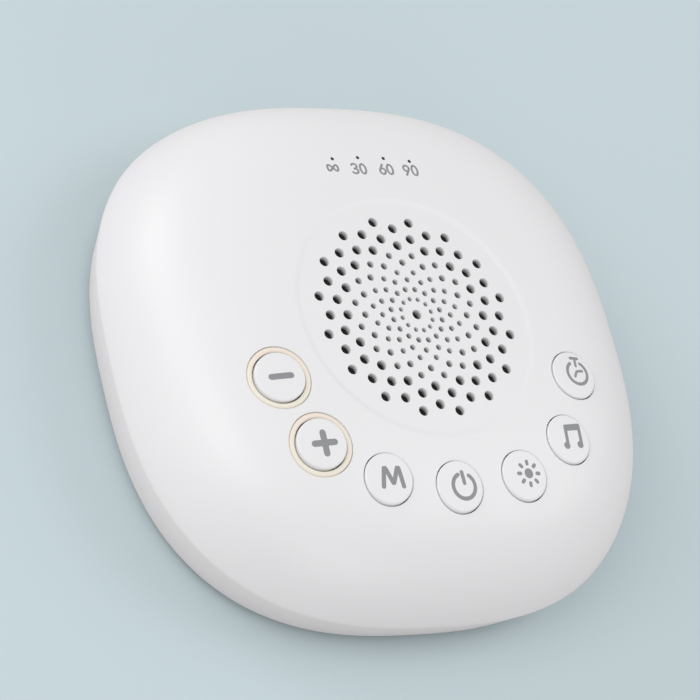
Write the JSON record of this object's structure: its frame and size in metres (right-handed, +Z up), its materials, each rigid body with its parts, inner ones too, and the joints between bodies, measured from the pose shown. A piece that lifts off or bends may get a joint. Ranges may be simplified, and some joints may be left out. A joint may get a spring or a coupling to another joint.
{
  "type": "white noise sound machine",
  "caption": "Rounded-square white sound machine with a domed face, a drilled speaker grille, an arc of round push buttons and timer lamps.",
  "frame": {"origin": "on the table, under the centre of the case", "axes": "+Z up, out of the face; +Y towards the timer lamps and the power inlet; +X to the right as the buttons are read"},
  "size_m": [0.11, 0.11, 0.0322],
  "materials": {
    "shell": "satin white moulded plastic",
    "base": "satin light grey-white moulded plastic",
    "button": "satin white moulded plastic",
    "cream": "satin cream translucent plastic",
    "cloth": "fine black acoustic cloth",
    "foam": "black closed-cell foam",
    "frame_metal": "black painted pressed steel",
    "cone_paper": "matt black paper",
    "magnet": "dark grey ferrite between zinc-plated plates",
    "screw_steel": "zinc-plated steel",
    "board": "green solder resist",
    "switch": "black moulded plastic",
    "stem": "light grey moulded plastic",
    "lamp": "yellowish lamp casting",
    "clear": "clear acrylic",
    "chip": "black epoxy",
    "can": "bare aluminium can",
    "socket": "natural nylon",
    "pouch": "silver laminate pouch",
    "inlet_metal": "nickel-plated steel",
    "wire": "black wire insulation",
    "wire_red": "red wire insulation",
    "wire_white": "white wire insulation",
    "feet": "matt grey rubber"
  },
  "bodies": {
    "housing": {"top_shell": "shell", "base_shell": "base", "dust_cloth": "cloth", "speaker_gasket": "foam", "speaker_frame": "frame_metal", "speaker_cone": "cone_paper", "speaker_magnet": "magnet", "speaker_screws": "screw_steel", "main_board": "board", "board_screws": "screw_steel", "switch_bodies": "switch", "minus_ring": "cream", "plus_ring": "cream", "timer_lamps": "lamp", "light_guide": "clear", "sound_chip": "chip", "capacitor": "can", "sockets": "socket", "battery": "pouch", "battery_pad": "foam", "power_board": "board", "charge_chip": "chip", "power_inlet": "inlet_metal", "power_screws": "screw_steel", "speaker_leads": "wire", "battery_leads": "wire_red", "link_cable": "wire_white", "case_screws": "screw_steel", "feet": "feet"},
    "minus_key": {"minus_button": "button", "minus_stem": "stem"},
    "plus_key": {"plus_button": "button", "plus_stem": "stem"},
    "mode_key": {"mode_button": "button", "mode_stem": "stem"},
    "power_key": {"power_button": "button", "power_stem": "stem"},
    "light_key": {"light_button": "button", "light_stem": "stem"},
    "music_key": {"music_button": "button", "music_stem": "stem"},
    "timer_key": {"timer_button": "button", "timer_stem": "stem"}
  },
  "joints": [
    {"name": "minus_press", "type": "slide", "parent": "housing", "child": "minus_key", "axis": [0, 0, -1], "range_m": [0, 0.0006], "stiffness_N_per_m": 2000},
    {"name": "plus_press", "type": "slide", "parent": "housing", "child": "plus_key", "axis": [0, 0, -1], "range_m": [0, 0.0006], "stiffness_N_per_m": 2000},
    {"name": "mode_press", "type": "slide", "parent": "housing", "child": "mode_key", "axis": [0, 0, -1], "range_m": [0, 0.0006], "stiffness_N_per_m": 2000},
    {"name": "power_press", "type": "slide", "parent": "housing", "child": "power_key", "axis": [0, 0, -1], "range_m": [0, 0.0006], "stiffness_N_per_m": 2000},
    {"name": "light_press", "type": "slide", "parent": "housing", "child": "light_key", "axis": [0, 0, -1], "range_m": [0, 0.0006], "stiffness_N_per_m": 2000},
    {"name": "music_press", "type": "slide", "parent": "housing", "child": "music_key", "axis": [0, 0, -1], "range_m": [0, 0.0006], "stiffness_N_per_m": 2000},
    {"name": "timer_press", "type": "slide", "parent": "housing", "child": "timer_key", "axis": [0, 0, -1], "range_m": [0, 0.0006], "stiffness_N_per_m": 2000}
  ]
}
